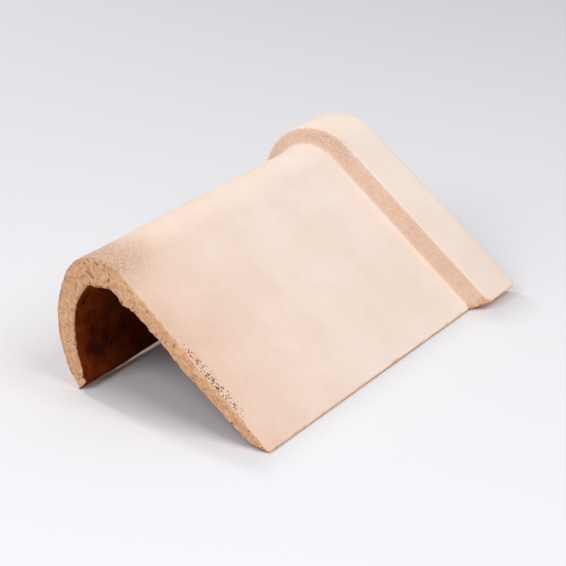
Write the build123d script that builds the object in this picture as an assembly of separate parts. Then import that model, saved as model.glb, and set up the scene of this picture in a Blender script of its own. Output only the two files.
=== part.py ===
from build123d import *
import os
from math import cos, radians, sin, sqrt, tan

# Monopitch ridge tile: one piece of fired clay that caps the top edge of a lean-to roof.
# The long wing lies on the roof slope on the -Y side, the short leg goes down the wall on the +Y side.
# The ridge runs along X, from the plain end to the collar. Sizes are in millimetres and degrees.

# Length, from the plain end to the mouth of the collar
overall_length = 400.0
collar_length = 54.0
shoulder_run = 8.0
plain_end_skew = 2.8

# Section of the body, measured over its outside
foot_span = 208.0
body_height = 131.0
wing_slope = 38.0
crown_radius = 42.0
crown_turn = 63.0
wing_edge = 1.6

# Hollow under the body
wing_wall = 15.5
crown_wall = 26.0
hollow_crown_radius = 38.0
hollow_crown_turn = 80.0
leg_foot_width = 13.0
leg_foot_flat = 5.0
leg_bevel_height = 9.0

# Collar, which covers the plain end of the next tile
collar_step = 17.5
collar_lip_height = 9.6
socket_clearance = 2.5
socket_depth = 46.0

# The lower edge of the leg rises from a short heel at the plain end, then runs level to the shoulder
leg_heel = 5.0
leg_rise_length = 150.0
leg_rise = 4.6

# Edges rounded by hand while the clay was soft
shoulder_round = 3.0
mouth_round = 3.0
plain_end_round = 3.5
hollow_round = 2.5

# The outside is first drawn this far below the floor, and trimmed once its edges are round
depth_to_trim = 6.0

slope = radians(wing_slope)
wing_normal = Vector(0, -sin(slope), cos(slope))
collar_start = overall_length - collar_length
shoulder_start = collar_start - shoulder_run


def crown_centre(radius, height, inset):
    """Centre of a crown arc of this top height that touches the wing line at this inset."""
    level = height - radius
    reach = (radius + inset + level * cos(slope)) / sin(slope)
    return Vector(0, reach - foot_span, level)


def toward_leg(turn):
    """Unit direction from an arc's centre, upright at zero and leaning to the leg as the turn grows."""
    return Vector(0, sin(radians(turn)), cos(radians(turn)))


def leg_circle(centre, radius, turn, foot):
    """Centre and radius of the arc that carries the crown arc on, without a kink, down to the foot."""
    chord = centre + toward_leg(turn) * radius - foot
    leg_radius = chord.dot(chord) / (2 * chord.dot(toward_leg(turn)))
    return centre + toward_leg(turn) * (radius - leg_radius), leg_radius


def at_level(centre, radius, level):
    """Point at this height on the leg side of an arc."""
    return Vector(0, centre.Y + sqrt(radius**2 - (level - centre.Z) ** 2), level)


def wing_point(inset, level):
    """Point at this height on the wing line, moved in from the outer face by inset."""
    return Vector(0, inset / sin(slope) + level / tan(slope) - foot_span, level)


def arch(centre, radius, turn, leg, wing_end, leg_end, corners=()):
    """Flat face under a wing line, a crown arc and a leg arc, closed by straight lines past the feet."""
    join = centre + toward_leg(turn) * radius
    leg_middle = at_level(*leg, (join.Z + leg_end.Z) / 2)
    wing_top = centre + wing_normal * radius
    edges = [
        Line(wing_end, wing_top),
        ThreePointArc(wing_top, centre + toward_leg(0) * radius, join),
        ThreePointArc(join, leg_middle, leg_end),
    ]
    across = [leg_end, *corners, wing_end]
    edges += [Line(start, end) for start, end in zip(across, across[1:])]
    return make_face(Wire(edges))


outer_centre = crown_centre(crown_radius, body_height, 0)
outer_leg_centre, outer_leg_radius = leg_circle(outer_centre, crown_radius, crown_turn, Vector(0, 0, 0))


def outside(growth, level):
    """Section under the outer face moved out by growth, drawn down to this height."""
    leg = (outer_leg_centre, outer_leg_radius + growth)
    wing_end = wing_point(-growth, level)
    return arch(outer_centre, crown_radius + growth, crown_turn, leg, wing_end, at_level(*leg, level))


def hollow():
    """Section of the space under the body, with the inner corner of the leg's foot bevelled off."""
    centre = crown_centre(hollow_crown_radius, body_height - crown_wall, wing_wall)
    leg = leg_circle(centre, hollow_crown_radius, hollow_crown_turn, Vector(0, -leg_foot_width, 0))
    bevel_top = at_level(*leg, leg_bevel_height)
    bevel_foot = Vector(0, -leg_foot_flat, 0)
    wing_foot = wing_point(wing_wall, 0)
    return arch(centre, hollow_crown_radius, hollow_crown_turn, leg, wing_foot, bevel_top, [bevel_foot])


def run(face, start, end):
    """The section carried along the ridge from start to end."""
    return Pos(start, 0, 0) * extrude(face, end - start, dir=(1, 0, 0))


def off_the_ground(part, edges):
    """These edges without the ones that lie along the underside of the part."""
    ground = part.bounding_box().min.Z
    return [edge for edge in edges if edge.center().Z > ground + 1]


def plain_end(part):
    """Edges of the flat face across the plain end."""
    across = part.faces().filter_by(GeomType.PLANE).filter_by(lambda face: face.normal_at().X < -0.9)
    return off_the_ground(part, across.sort_by(Axis.X)[0].edges())


def rim_at(part, level):
    """Edges that lie in the plane across the ridge at this level."""
    places = (0, 0.5, 1)
    rim = [edge for edge in part.edges() if all(abs((edge @ place).X - level) < 0.01 for place in places)]
    return off_the_ground(part, rim)


# The outside: plain body, sloping shoulder and raised collar
spare = foot_span * tan(radians(plain_end_skew)) + plain_end_round
body_section = outside(0, -depth_to_trim)
collar_section = outside(collar_step, -depth_to_trim)
shoulder = loft([Pos(shoulder_start, 0, 0) * body_section, Pos(collar_start, 0, 0) * collar_section], ruled=True)
tile = run(body_section, -spare, shoulder_start) + shoulder + run(collar_section, collar_start, overall_length)

# The plain end is cut slightly out of square
end_cut = Box(2 * spare, 4 * foot_span, 4 * body_height, align=(Align.MAX, Align.CENTER, Align.CENTER))
tile -= Rot(0, 0, -plain_end_skew) * end_cut

# Soft edges of the shoulder and of both ends, then the floor line
tile = fillet(rim_at(tile, shoulder_start), shoulder_round)
tile = fillet(rim_at(tile, collar_start), shoulder_round)
tile = fillet(rim_at(tile, overall_length), mouth_round)
tile = fillet(plain_end(tile), plain_end_round)
tile -= Box(4 * overall_length, 4 * foot_span, 2 * body_height, align=(Align.CENTER, Align.CENTER, Align.MAX))

# The wing's lower edge: a thin square cut along the body, a slanting one under the shoulder and the collar
before, beyond = -2 * spare, overall_length + spare
foot_tip = wing_point(wing_edge, 0)
square_cut = Box(shoulder_start - before, foot_span, body_height, align=(Align.MIN, Align.MAX, Align.CENTER))
tile -= Plane(origin=(before, foot_tip.Y, 0), x_dir=(1, 0, 0), z_dir=wing_normal) * square_cut
under_lip = Vector(1, 0, 0).cross(foot_tip - wing_point(-collar_step, collar_lip_height))
lip_cut = Box(beyond - shoulder_start, foot_span, body_height, align=(Align.MIN, Align.CENTER, Align.MAX))
tile -= Plane(origin=(shoulder_start, foot_tip.Y, 0), x_dir=(1, 0, 0), z_dir=under_lip) * lip_cut

# The hollow under the body and the socket inside the collar, which clears the next tile's body all round
hollow_space = run(hollow(), before, beyond)
tile = tile - run(outside(socket_clearance, 0), overall_length - socket_depth, beyond) - hollow_space
hollow_rim = [
    edge
    for edge in plain_end(tile)
    if edge.center().Z > leg_bevel_height and hollow_space.distance_to(edge @ 0.5) < 0.01
]
tile = fillet(hollow_rim, hollow_round)

# The rise of the leg's lower edge
rise_end = leg_heel + leg_rise_length
risen = [(leg_heel, 0, 0), (shoulder_start, 0, 0), (shoulder_start, 0, leg_rise), (rise_end, 0, leg_rise)]
rise = make_face(Polyline(*risen, close=True))
tile -= Pos(0, -foot_span / 4, 0) * extrude(rise, foot_span / 2, dir=(0, 1, 0))

# Origin: middle of the footprint. The feet already stand on Z = 0
box = tile.bounding_box()
tile = Pos(-box.center().X, -box.center().Y, 0) * tile

os.makedirs("parts", exist_ok=True)
export_step(tile, "parts/ridge_tile.step")
print("volume", round(tile.volume), "box", box.size)
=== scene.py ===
import bpy
import numpy as np
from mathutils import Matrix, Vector


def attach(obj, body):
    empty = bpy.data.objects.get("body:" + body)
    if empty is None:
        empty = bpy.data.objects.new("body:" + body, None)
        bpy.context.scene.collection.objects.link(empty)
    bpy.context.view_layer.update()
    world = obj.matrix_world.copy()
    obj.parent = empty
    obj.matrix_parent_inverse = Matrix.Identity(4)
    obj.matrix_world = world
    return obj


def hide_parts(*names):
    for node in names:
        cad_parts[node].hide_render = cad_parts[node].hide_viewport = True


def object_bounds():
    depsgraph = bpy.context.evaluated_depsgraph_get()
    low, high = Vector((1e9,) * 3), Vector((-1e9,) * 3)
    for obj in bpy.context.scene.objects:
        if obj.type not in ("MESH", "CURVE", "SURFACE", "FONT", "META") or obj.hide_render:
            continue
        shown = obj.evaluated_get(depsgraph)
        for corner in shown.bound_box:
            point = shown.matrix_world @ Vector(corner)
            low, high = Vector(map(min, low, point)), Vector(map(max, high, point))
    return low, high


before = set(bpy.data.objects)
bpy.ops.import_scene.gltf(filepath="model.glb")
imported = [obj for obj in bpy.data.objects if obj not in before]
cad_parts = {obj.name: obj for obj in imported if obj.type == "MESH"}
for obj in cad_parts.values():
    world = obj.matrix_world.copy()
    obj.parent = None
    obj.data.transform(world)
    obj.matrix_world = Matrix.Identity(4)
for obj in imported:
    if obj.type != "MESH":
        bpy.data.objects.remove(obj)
cad_box = [list(corner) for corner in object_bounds()]

# The ridge tile is a slab of gritty clay, bent while soft over a former, its collar raised at one end.
# The outside was wiped with wet hands, which left a pale skin. The plain end was cut and tore open,
# and shows the orange body of the clay. The underside kept the sandy face of the former.
# Sizes are in millimetres, as in the drawing: X from the plain end, Y from the foot of the leg, Z up.
overall_length = 400.0
plain_end_skew = np.radians(2.8)
wing_slope = np.radians(38.0)
up_the_wing = np.array([np.cos(wing_slope), np.sin(wing_slope)])
off_the_wing = np.array([-np.sin(wing_slope), np.cos(wing_slope)])
wing_line_foot = np.array([-208.0, 0.0])
wing_length = 198.0


def two_arcs(radius, height, inset, turn, foot):
    """Crown arc and leg arc of one line of the section, as (crown centre, radius, leg centre, radius).
    The crown arc touches the wing's line, moved in by the inset, and its top is at this height.
    The leg arc leaves it at the turn, without a kink, and passes through the foot: its radius is
    the chord to the foot squared, over twice the chord's share along the turn's direction."""
    level = height - radius
    reach = (radius + inset + level * up_the_wing[0]) / up_the_wing[1]
    crown = np.array([reach + wing_line_foot[0], level])
    toward = np.array([np.sin(turn), np.cos(turn)])
    chord = crown + toward * radius - foot
    leg_radius = chord @ chord / (2 * chord @ toward)
    return crown, radius, crown + toward * (radius - leg_radius), leg_radius


def section_line(q, arcs, turn, growth, wing_start, foot_level):
    """Points (y, z) of one line across the tile, moved out by growth. q from 0 to 1 goes straight up the
    wing from its start, to 2 round the crown and to 3 down the leg to the foot's level. Each arc is its
    centre plus (radius + growth) times the sine and cosine of an angle that grows evenly with q."""
    crown, crown_radius, leg, leg_radius = arcs
    growth = np.broadcast_to(growth, np.broadcast(q, growth, foot_level).shape)
    wing_top = crown + (crown_radius + growth)[..., None] * off_the_wing
    wing = wing_start + (wing_top - wing_start) * np.clip(q, 0, 1)[..., None]
    crown_angle = -wing_slope + (turn + wing_slope) * np.clip(q - 1, 0, 1)
    direction = np.stack(np.broadcast_arrays(np.sin(crown_angle), np.cos(crown_angle)), -1)
    over_crown = crown + (crown_radius + growth)[..., None] * direction
    foot_angle = np.arccos((foot_level - leg[1]) / (leg_radius + growth))
    leg_angle = turn + (foot_angle - turn) * np.clip(q - 2, 0, 1)
    direction = np.stack([np.sin(leg_angle), np.cos(leg_angle)], -1)
    down_leg = leg + (leg_radius + growth)[..., None] * direction
    return np.where((q < 1)[..., None], wing, np.where((q < 2)[..., None], over_crown, down_leg))


# Rows of points: across the tile (q), along the ridge (x) and through the wall (w, 0 outside to 1 inside)
q_rows = np.concatenate([np.linspace(0, 1, 150)[:-1], np.linspace(1, 2, 66)[:-1], np.linspace(2, 3, 64)])
plain_round, mouth_round, hollow_round = 1.8, 3.0, 2.0
quarter = 1 - np.cos(np.linspace(0, np.pi / 2, 6))
x_rows = np.concatenate([
    plain_round * quarter,
    np.linspace(plain_round, 24, 21)[1:],
    np.linspace(24, 324, 66)[1:],
    np.linspace(324, 352, 26)[1:],
    [353.5, 353.9, 354.3, 354.7],
    np.linspace(357, overall_length - mouth_round, 13),
    overall_length - mouth_round * quarter[-2::-1],
])
w_rows = np.linspace(0, 1, 18)
q = q_rows[:, None]
x = x_rows[None, :]

# The shoulder is an even ramp averaged over a short window, which rounds its root and its brow
collar_step, shoulder_start, collar_start = 17.5, 338.0, 346.0


def ramp_area(level):
    """Area under a ramp that climbs evenly from 0 to 1 between the start of the shoulder and the collar."""
    inside = np.clip(level, shoulder_start, collar_start) - shoulder_start
    return inside**2 / (2 * (collar_start - shoulder_start)) + np.maximum(level - collar_start, 0)


softness = 1.3 + 2.4 * np.clip((q - 0.85) / 0.5, 0, 1)
growth = collar_step * (ramp_area(x + softness) - ramp_area(x - softness)) / (2 * softness)

# The wing's lower edge: a thin square cut on the body, and a slanting cut under the collar's lip
body_edge, collar_edge = 2.05, -6.81
edge_place = body_edge + (collar_edge - body_edge) * growth / collar_step
edge_top = wing_line_foot + edge_place[..., None] * up_the_wing + growth[..., None] * off_the_wing
foot_tip = np.array([-205.4, 0.0])

# The foot of the leg rises from a short heel at the plain end, more at its worn outer edge than inside,
# and drops again at the collar
leg_heel, rise_length, leg_rise, outer_wear = 5.0, 150.0, 4.6, 1.6
rise = leg_rise * np.clip((x - leg_heel) / rise_length, 0, 1) * np.clip((shoulder_start + 1 - x) / 3, 0, 1)
outer_radius, outer_height, outer_turn = 42.0, 131.0, np.radians(63.0)
outer_arcs = two_arcs(outer_radius, outer_height, 0.0, outer_turn, np.array([0.0, 0.0]))
outer = section_line(q, outer_arcs, outer_turn, growth, edge_top, outer_wear * rise + 0 * growth)

# The hollow, with its bevelled leg foot worn narrow, opens into the socket inside the collar
wing_wall, bevel_height, bevel_flat, bevel_share = 15.5, 9.0, 0.8, 0.93
hollow_radius, hollow_height, hollow_turn = 38.0, 105.0, np.radians(80.0)
leg_foot_width = 13.0
hollow_arcs = two_arcs(hollow_radius, hollow_height, wing_wall, hollow_turn, np.array([-leg_foot_width, 0.0]))
hollow_foot = wing_line_foot + np.array([wing_wall / up_the_wing[1], 0.0])
bevel_q = np.where(q > 2, 2 + np.clip((q - 2) / bevel_share, 0, 1), q)
hollow = section_line(bevel_q, hollow_arcs, hollow_turn, 0 * growth, hollow_foot, bevel_height + 0 * growth)
bevel_foot = np.array([-bevel_flat, 0.0]) + 0 * hollow[-1]
bevel_foot = bevel_foot + (hollow[-1] - bevel_foot) * (rise / bevel_height)[..., None]
hollow = hollow + (bevel_foot - hollow) * np.clip((q - 2 - bevel_share) / (1 - bevel_share), 0, 1)[..., None]

socket_clearance, socket_start = 2.5, 354.1
socket_foot = np.array([-209.42, 2.06])
socket = section_line(q, outer_arcs, outer_turn, socket_clearance + 0 * growth, socket_foot, 0 * growth)
in_socket = np.clip(x - socket_start + 0.5, 0, 1)[..., None]
inner = hollow + (socket - hollow) * in_socket

# Only the surface of the block of points is kept, and each of its points gets a number
on_surface = np.zeros((len(q_rows), len(x_rows), len(w_rows)), bool)
for side in (0, -1):
    on_surface[side] = True
    on_surface[:, side] = True
    on_surface[:, :, side] = True
number = np.full(on_surface.shape, -1)
number[on_surface] = np.arange(on_surface.sum())
qi, xi, wi = np.nonzero(on_surface)

quads = []
for grid, way in ((number[:, :, 0], 1), (number[:, :, -1], -1), (number[:, 0], -1),
                  (number[:, -1], 1), (number[0], -1), (number[-1], 1)):
    corners = np.stack([grid[:-1, :-1], grid[1:, :-1], grid[1:, 1:], grid[:-1, 1:]], -1).reshape(-1, 4)
    quads.append(corners[:, ::way])
quads = np.concatenate(quads)


def edge_drop(distance, radius):
    """Depth of a quarter-round edge at this distance from the end: r - sqrt(r^2 - (r - distance)^2)."""
    return radius - np.sqrt(radius**2 - np.clip(radius - distance, 0, radius) ** 2)


# Each point lies at its share of the way through the wall. At the wing's foot the way leads round the tip
wall = np.linalg.norm(inner - outer, axis=-1)
outside_drop = edge_drop(x, plain_round) + edge_drop(overall_length - x, mouth_round)
inside_drop = edge_drop(x, hollow_round)
share = (outside_drop + w_rows[:, None, None] * (wall - outside_drop - inside_drop)) / wall
share = share.transpose(1, 2, 0)[on_surface][:, None]
out_point, in_point = outer[qi, xi], inner[qi, xi]
across = out_point + (in_point - out_point) * share
tip_point = foot_tip + (socket_foot - foot_tip) * in_socket[0, xi]
to_tip = np.linalg.norm(tip_point - out_point, axis=1)
tip_share = (to_tip / (to_tip + np.linalg.norm(in_point - tip_point, axis=1) + 0.01))[:, None]
round_tip = out_point + (tip_point - out_point) * np.clip(share / tip_share, 0, 1)
round_tip = round_tip + (in_point - tip_point) * np.clip((share - tip_share) / (1 - tip_share), 0, 1)
across = np.where((qi == 0)[:, None], round_tip, across)

# The plain end leans out of square, and the corners of the wing are worn round and thin
q_of, x_of = q_rows[qi], x_rows[xi]
rows_up = q_of * wing_length
thin_depth, thin_up, thin_along = 4.5, 95.0, 60.0
worn_thin = thin_depth * np.clip(1 - rows_up / thin_up, 0, 1) * np.clip(1 - x_of / thin_along, 0, 1)
across += (worn_thin * w_rows[wi])[:, None] * off_the_wing
corner_round, corner_fade = 6.0, 40.0
worn_corner = edge_drop(rows_up, corner_round)
lean = np.tan(plain_end_skew) * across[:, 0] * np.clip(1 - x_of / shoulder_start, 0, 1)
lean += 0.6 * worn_corner * np.clip(1 - x_of / corner_fade, 0, 1)
lean -= 0.9 * worn_corner * np.clip(1 - (overall_length - x_of) / corner_fade, 0, 1)
points = np.column_stack([x_of + lean, across])

# One block of random numbers feeds all the unevenness below
noise_block = np.random.default_rng(11).random((48, 48, 48))


def cloud(places, size, shift=0):
    """Smooth noise from -1 to 1: the eight nearest numbers of a random block with one number every
    `size` millimetres, blended along each axis with the weight 3 f^2 - 2 f^3."""
    cell = places / size + shift
    low = np.floor(cell).astype(int)
    f = cell - low
    f = f * f * (3 - 2 * f)
    total = np.zeros(len(places))
    for corner in np.ndindex(2, 2, 2):
        weight = np.prod(np.where(corner, f, 1 - f), axis=1)
        total += weight * noise_block[tuple(((low + corner) % 48).T)]
    return 2 * total - 1


def pits(places, spacing, shift=0):
    """Round holes, depth 0 to 1: each cell of a grid holds one hole with a random middle and radius,
    and its depth is 1 - (distance / radius)^2. The deepest of the 27 nearest cells counts."""
    cell = places / spacing + shift
    low = np.floor(cell).astype(int)
    deepest = np.zeros(len(places))
    for corner in np.ndindex(3, 3, 3):
        near = low + corner - 1
        index = tuple((near % 48).T)
        middle = near + np.stack([noise_block[index], noise_block.T[index], noise_block[::-1][index]], 1)
        radius = 0.12 + 0.33 * noise_block[:, ::-1][index] ** 2
        distance = np.linalg.norm(cell - middle, axis=1)
        deepest = np.maximum(deepest, 1 - (distance / radius) ** 2)
    return deepest


def step(value, low, high):
    """Soft switch from 0 at low to 1 at high, with the weight 3 f^2 - 2 f^3 in between."""
    f = np.clip((value - low) / (high - low), 0, 1)
    return f * f * (3 - 2 * f)


def bell(distance, width):
    """Soft bump of height 1: e to the power -(distance / width)^2."""
    return np.exp(-((distance / width) ** 2))


def outward(places):
    """Unit normal at each point: the sum of the cross products of the diagonals of the quads around it."""
    a, b, c, d = (places[quads[:, n]] for n in range(4))
    face = np.cross(c - a, d - b)
    total = np.zeros_like(places)
    for n in range(4):
        np.add.at(total, quads[:, n], face)
    return total / np.linalg.norm(total, axis=1)[:, None]


normal = outward(points)
outside = (wi == 0).astype(float)
underside = (wi == len(w_rows) - 1).astype(float)
torn_end = (xi == 0).astype(float)
mouth_face = (xi == len(x_rows) - 1).astype(float)

# Where the skin is broken: the torn end, the feet, and chips at the lower end of the groove
ragged = cloud(points, 7.0) + 0.7 * cloud(points, 2.6, 5)
near_end = 1 - step(x_of + 1.1 * ragged, 0.6, 2.2)
foot_edge = 1 - step(rows_up + 0.9 * ragged, 0.1, 1.4)
leg_edge = step(q_of + 0.004 * ragged, 2.98, 2.997)
groove_chips = step(bell(x_of - 344, 9) * bell(rows_up - 1, 9) * (1 + 0.8 * ragged), 0.4, 0.6) * outside
broken = np.clip(np.maximum.reduce([near_end, foot_edge, leg_edge, groove_chips, 0.8 * mouth_face]), 0, 1)

# Where the skin is thin and shows the warmer clay: toward the plain end, where the skin is also darker as
# painted shade of the light falling off, and all along the shoulder, whose warmer, darker tint is painted
# shade. On the underside the same mask sets painted shade that grows darker far in from the plain end
crown_band = step(q_of, 0.85, 1.1) * (1 - step(q_of, 2.2, 2.6))
past_root = step(x_of, shoulder_start - 1, shoulder_start + 1)
slope_band = past_root * (1 - step(x_of, collar_start - 1, collar_start + 1))
thin_skin_and_painted_shade = np.maximum.reduce([
    0.95 * np.exp(-x_of / 110), 0.9 * bell(x_of, 40) * crown_band, 0.9 * slope_band * outside])

# Where it is coarse and sandy: the crown at the plain end, and the shoulder, most of all over the crown.
# Where it has open pits: the wing's edge at the plain end, and the near side of the shoulder's crown
shoulder_middle = (shoulder_start + collar_start) / 2
shoulder_crown = bell(x_of - shoulder_middle, 6) * step(q_of, 0.8, 1.02)
sandy = np.maximum.reduce([bell(x_of, 50) * crown_band, 0.55 * shoulder_crown, 0.42 * slope_band]) * outside
edge_band = bell(x_of - 5, 5.5) * step(rows_up, 20, 60) * (1 - step(rows_up, 100, 135))
open_skin = np.maximum(edge_band, 0.25 * shoulder_crown * (1 - step(q_of, 1.4, 1.8))) * outside

# Relief, in millimetres outward. The torn end has lumps, grit, and short slits around the crown
relief = 0.35 * cloud(points, 60) * outside * step(x_of, 2, 30)
slits = torn_end * step(bell(q_of - 1.25, 0.5) * (0.3 - np.abs(cloud(points, 3.6, 21))) * ragged, 0.04, 0.18)
holes = np.maximum(slits, 0.6 * torn_end * pits(points, 4.4, 14))
torn_lumps = 1.0 * cloud(points, 8.0, 3) + 1.1 * cloud(points, 3.2, 9) + 1.4 * step(q_of, 1.2, 2.6) - 0.4
relief += torn_end * torn_lumps * (1 - step(q_of, 2.85, 2.98))
relief += near_end * (1 - torn_end) * (0.8 * cloud(points, 4.5, 2) + 0.3)
relief += underside * (0.8 * cloud(points, 22, 7) + 0.5 * cloud(points, 6, 4))
relief += sandy * (0.45 * cloud(points, 3.2, 1) + 0.3 * cloud(points, 1.9, 6))
relief -= groove_chips * (0.6 + 0.8 * ragged) + (foot_edge + leg_edge) * (0.3 + 0.5 * ragged) * outside
relief -= 1.6 * holes
points = points + normal * relief[:, None]

# The torn lip inside the crown: a lump that was left hanging, and a bite beside it
lip_reach, lump_drop, lump_place, bite_depth, bite_place = 14.0, 5.5, -54.0, 4.5, -14.0
inner_end = np.clip(1 - x_of / lip_reach, 0, 1) * (wi > len(w_rows) // 2)
hanging = lump_drop * bell(points[:, 1] - lump_place, 8) * inner_end * (points[:, 2] > 70)
bitten = bite_depth * bell(points[:, 1] - bite_place, 7) * inner_end * (points[:, 2] > 80)
points[:, 2] += bitten - hanging

# Sizes above are the drawing's. The mesh is in metres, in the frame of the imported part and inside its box
middle_of_span = 92.118
shift = np.array([cad_box[1][0] * 1000 - overall_length, middle_of_span, 0])
points = np.clip((points + shift) * 0.001, cad_box[0], cad_box[1])
mesh = bpy.data.meshes.new("ridge_tile_clay")
mesh.from_pydata(points.tolist(), [], quads.tolist())
mesh.polygons.foreach_set("use_smooth", np.ones(len(quads), bool))
for name, values in (("broken", broken), ("underside", underside), ("thin_skin_and_painted_shade", thin_skin_and_painted_shade),
                     ("sandy", sandy), ("open_skin", open_skin), ("holes", holes)):
    layer = mesh.attributes.new(name, "FLOAT", "POINT")
    layer.data.foreach_set("value", values.astype(np.float32))
mesh.update()
tile = bpy.data.objects.new("ridge_tile_clay", mesh)
bpy.context.scene.collection.objects.link(tile)
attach(tile, "root")
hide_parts("ridge_tile")


def add(tree, kind, inputs=None, **settings):
    """A new node of this kind, with these settings and with values or links for its named inputs."""
    node = tree.nodes.new(kind)
    for name, value in settings.items():
        setattr(node, name, value)
    for name, value in (inputs or {}).items():
        if isinstance(value, bpy.types.NodeSocket):
            tree.links.new(value, node.inputs[name])
        else:
            node.inputs[name].default_value = value
    return node


def mixed(tree, share, first, second):
    """Colour that goes from first to second as share goes from 0 to 1."""
    return add(tree, "ShaderNodeMix", {0: share, 6: first, 7: second}, data_type="RGBA").outputs[2]


def maths(tree, first, second, operation="ADD"):
    """Two values put together by this operation."""
    return add(tree, "ShaderNodeMath", {0: first, 1: second}, operation=operation).outputs[0]


def spread(tree, value, low, high, to_low=0.0, to_high=1.0):
    """Value moved from the range low to high onto another range, and held inside it."""
    inputs = {"Value": value, "From Min": low, "From Max": high, "To Min": to_low, "To Max": to_high}
    return add(tree, "ShaderNodeMapRange", inputs).outputs["Result"]


# Grain of fired clay: broad clouds of two colours, darker grit, and small open pores, coloured dark inside as
# painted shade
grain = bpy.data.node_groups.new("clay_grain", "ShaderNodeTree")
grain_inputs = ("Place Vector", "Light Color", "Deep Color", "Pore Color", "Clouds Float", "Grit Float",
                "Pores Float", "Grit_share Float", "Pore_share Float")
for words in grain_inputs:
    name, kind = words.split()
    grain.interface.new_socket(name, in_out="INPUT", socket_type="NodeSocket" + kind)
grain.interface.new_socket("Colour", in_out="OUTPUT", socket_type="NodeSocketColor")
grain.interface.new_socket("Height", in_out="OUTPUT", socket_type="NodeSocketFloat")
given = add(grain, "NodeGroupInput").outputs
at = {"Vector": given["Place"]}
clouds = add(grain, "ShaderNodeTexNoise", {**at, "Scale": given["Clouds"], "Detail": 5.0, "Roughness": 0.6})
grit = add(grain, "ShaderNodeTexNoise", {**at, "Scale": given["Grit"], "Detail": 4.0, "Roughness": 0.7})
uneven = add(grain, "ShaderNodeVectorMath", {0: grit.outputs["Color"], 1: (0.001, 0.001, 0.001),
                                             2: given["Place"]}, operation="MULTIPLY_ADD")
pores = add(grain, "ShaderNodeTexVoronoi", {"Vector": uneven.outputs["Vector"], "Scale": given["Pores"]})
size_of_pore = maths(grain, spread(grain, pores.outputs["Color"], 0.2, 1.0), given["Pore_share"], "MULTIPLY")
open_pore = spread(grain, maths(grain, size_of_pore, pores.outputs["Distance"], "SUBTRACT"), 0.0, 0.12)
colour = mixed(grain, spread(grain, clouds.outputs["Fac"], 0.35, 0.65), given["Light"], given["Deep"])
grit_mask = maths(grain, spread(grain, grit.outputs["Fac"], 0.48, 0.68), given["Grit_share"], "MULTIPLY")
colour = mixed(grain, grit_mask, colour, given["Deep"])
# Painted shade: open pores take the dark pore colour for the shade inside them
colour = mixed(grain, open_pore, colour, given["Pore"])
height = maths(grain, grit.outputs["Fac"], maths(grain, open_pore, 1.5, "MULTIPLY"), "SUBTRACT")
add(grain, "NodeGroupOutput", {"Colour": colour, "Height": height})

# The fired clay: a pale skin that is warmer where it is thin, and darker toward the plain end and on the
# shoulder as painted shade. The hollows between the grains of sand where it is coarse are darker as painted
# shade. The torn end shows the orange body. The underside is dark red-brown, partly its own colour and partly
# painted shade, and painted shade makes it darkest far in
clay = bpy.data.materials.new("fired_clay")
clay.use_nodes = True
tree = clay.node_tree
tree.nodes.clear()
where = add(tree, "ShaderNodeTexCoord").outputs["Object"]
masks = {name: add(tree, "ShaderNodeAttribute", attribute_name=name).outputs["Fac"]
         for name in ("broken", "underside", "thin_skin_and_painted_shade", "sandy", "open_skin", "holes")}


def clay_grain(**values):
    """One use of the grain group with its own colours, scales and shares, as (colour, height)."""
    node = add(tree, "ShaderNodeGroup", {"Place": where, **values}, node_tree=grain)
    return node.outputs["Colour"], node.outputs["Height"]


skin_light = mixed(tree, masks["thin_skin_and_painted_shade"], (0.94, 0.805, 0.715, 1), (0.84, 0.605, 0.475, 1))
skin_deep = mixed(tree, masks["thin_skin_and_painted_shade"], (0.89, 0.73, 0.625, 1), (0.76, 0.50, 0.365, 1))
skin_pores = spread(tree, masks["open_skin"], 0.0, 1.0, 0.2, 1.2)
# In each use of the grain, the pore colour is painted shade inside the open pores
skin_colour, skin_height = clay_grain(
    Light=skin_light, Deep=skin_deep, Pore=(0.30, 0.12, 0.055, 1),
    Clouds=14.0, Grit=420.0, Pores=560.0, Grit_share=0.3, Pore_share=skin_pores)
body_colour, body_height = clay_grain(
    Light=(0.97, 0.60, 0.36, 1), Deep=(0.72, 0.38, 0.20, 1), Pore=(0.20, 0.08, 0.035, 1),
    Clouds=300.0, Grit=900.0, Pores=300.0, Grit_share=0.6, Pore_share=0.3)
# Painted shade: the underside is coloured darker than its clay for the shade inside the hollow, and darkest
# far in from the plain end
under_light_with_painted_shade = mixed(tree, masks["thin_skin_and_painted_shade"], (0.08, 0.01, 0.002, 1), (0.34, 0.056, 0.007, 1))
under_colour, under_height = clay_grain(
    Light=under_light_with_painted_shade, Deep=(0.07, 0.01, 0.002, 1), Pore=(0.02, 0.006, 0.002, 1),
    Clouds=45.0, Grit=300.0, Pores=150.0, Grit_share=0.5, Pore_share=0.3)
sand = add(tree, "ShaderNodeTexNoise", {"Vector": where, "Scale": 420.0, "Detail": 3.0, "Distortion": 1.0})
# Painted shade: the hollows between the grains of sand are coloured darker brown
painted_shade_between_grains = maths(tree, spread(tree, sand.outputs["Fac"], 0.62, 0.42), masks["sandy"], "MULTIPLY")
colour = mixed(tree, painted_shade_between_grains, skin_colour, (0.64, 0.40, 0.27, 1))
colour = mixed(tree, masks["underside"], colour, under_colour)
colour = mixed(tree, masks["broken"], colour, body_colour)
# Painted shade: the slits and pits of the torn end are coloured dark brown for the shade inside them
colour = mixed(tree, spread(tree, masks["holes"], 0.15, 0.8), colour, (0.20, 0.075, 0.03, 1))

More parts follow.
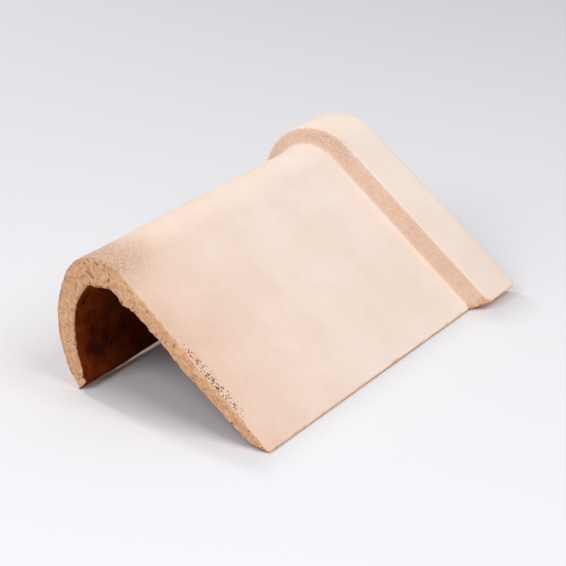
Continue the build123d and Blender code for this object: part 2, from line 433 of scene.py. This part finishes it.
# The bump is in millimetres: a faint grain on the skin, and coarse sand where the skin is open or torn
fine_bump = maths(tree, skin_height, 0.12, "MULTIPLY")
torn_bump = maths(tree, maths(tree, body_height, masks["broken"], "MULTIPLY"), 1.3, "MULTIPLY")
sand_bump = maths(tree, maths(tree, sand.outputs["Fac"], masks["sandy"], "MULTIPLY"), 2.2, "MULTIPLY")
under_bump = maths(tree, maths(tree, under_height, masks["underside"], "MULTIPLY"), 0.5, "MULTIPLY")
height = maths(tree, maths(tree, fine_bump, torn_bump), maths(tree, sand_bump, under_bump))
bump = add(tree, "ShaderNodeBump", {"Height": height, "Strength": 1.0, "Distance": 0.001})
shine = spread(tree, masks["underside"], 0.0, 1.0, 0.3, 0.05)
surface = add(tree, "ShaderNodeBsdfPrincipled", {
    "Base Color": colour, "Roughness": 0.85, "Specular IOR Level": shine, "Normal": bump.outputs["Normal"]})
add(tree, "ShaderNodeOutputMaterial", {"Surface": surface.outputs["BSDF"]})
mesh.materials.append(clay)

# The floor is a wide sheet of white paper under the tile. It isn't part of the object
floor_reach = 6.0
floor_corners = [(-floor_reach, -floor_reach, 0), (floor_reach, -floor_reach, 0),
                 (floor_reach, floor_reach, 0), (-floor_reach, floor_reach, 0)]
floor_mesh = bpy.data.meshes.new("studio_floor")
floor_mesh.from_pydata(floor_corners, [], [(0, 1, 2, 3)])
floor = bpy.data.objects.new("studio_floor", floor_mesh)
bpy.context.scene.collection.objects.link(floor)
paper = bpy.data.materials.new("studio_paper")
paper.use_nodes = True
paper_surface = paper.node_tree.nodes["Principled BSDF"]
paper_surface.inputs["Base Color"].default_value = (0.82, 0.81, 0.84, 1)
paper_surface.inputs["Roughness"].default_value = 0.9
paper_surface.inputs["Specular IOR Level"].default_value = 0.1
floor_mesh.materials.append(paper)

# Light: an even pale surround, a wide soft lamp above the wing, a soft one beyond the plain end,
# and a small one behind the leg, which shines through the gap under the leg's foot
world = bpy.data.worlds.new("studio_world")
bpy.context.scene.world = world
world.use_nodes = True
surround = world.node_tree.nodes["Background"]
surround.inputs["Color"].default_value = (1.0, 1.0, 1.0, 1)
surround.inputs["Strength"].default_value = 0.35


def soft_lamp(name, place, target, size, power):
    """Square lamp of this size and power at a place, facing a target."""
    lamp = bpy.data.lights.new(name, "AREA")
    lamp.shape = "SQUARE"
    lamp.size = size
    lamp.energy = power
    holder = bpy.data.objects.new(name, lamp)
    holder.location = place
    holder.rotation_euler = (Vector(target) - Vector(place)).to_track_quat("-Z", "Y").to_euler()
    bpy.context.scene.collection.objects.link(holder)


soft_lamp("front_lamp", (-0.25, -1.55, 1.95), (0, 0, 0.05), 1.6, 31.0)
soft_lamp("side_lamp", (-1.5, 0.35, 1.5), (0, 0, 0.05), 1.0, 15.5)
soft_lamp("back_lamp", (0.35, 2.55, 1.96), (0, 0, 0.05), 0.28, 27.0)

# Camera: above and to the left of the plain end, looking down at the tile through a long lens
camera_data = bpy.data.cameras.new("camera")
camera_data.sensor_width = 36.0
camera_data.lens = 128.4
camera_data.clip_end = 50.0
camera = bpy.data.objects.new("camera", camera_data)
camera.location = (-1.42935, -0.92968, 0.7921)
camera.rotation_euler = Vector((0.7678, 0.5024, -0.3976)).to_track_quat("-Z", "Y").to_euler()
bpy.context.scene.collection.objects.link(camera)
bpy.context.scene.camera = camera
bpy.context.scene.view_settings.view_transform = "Standard"
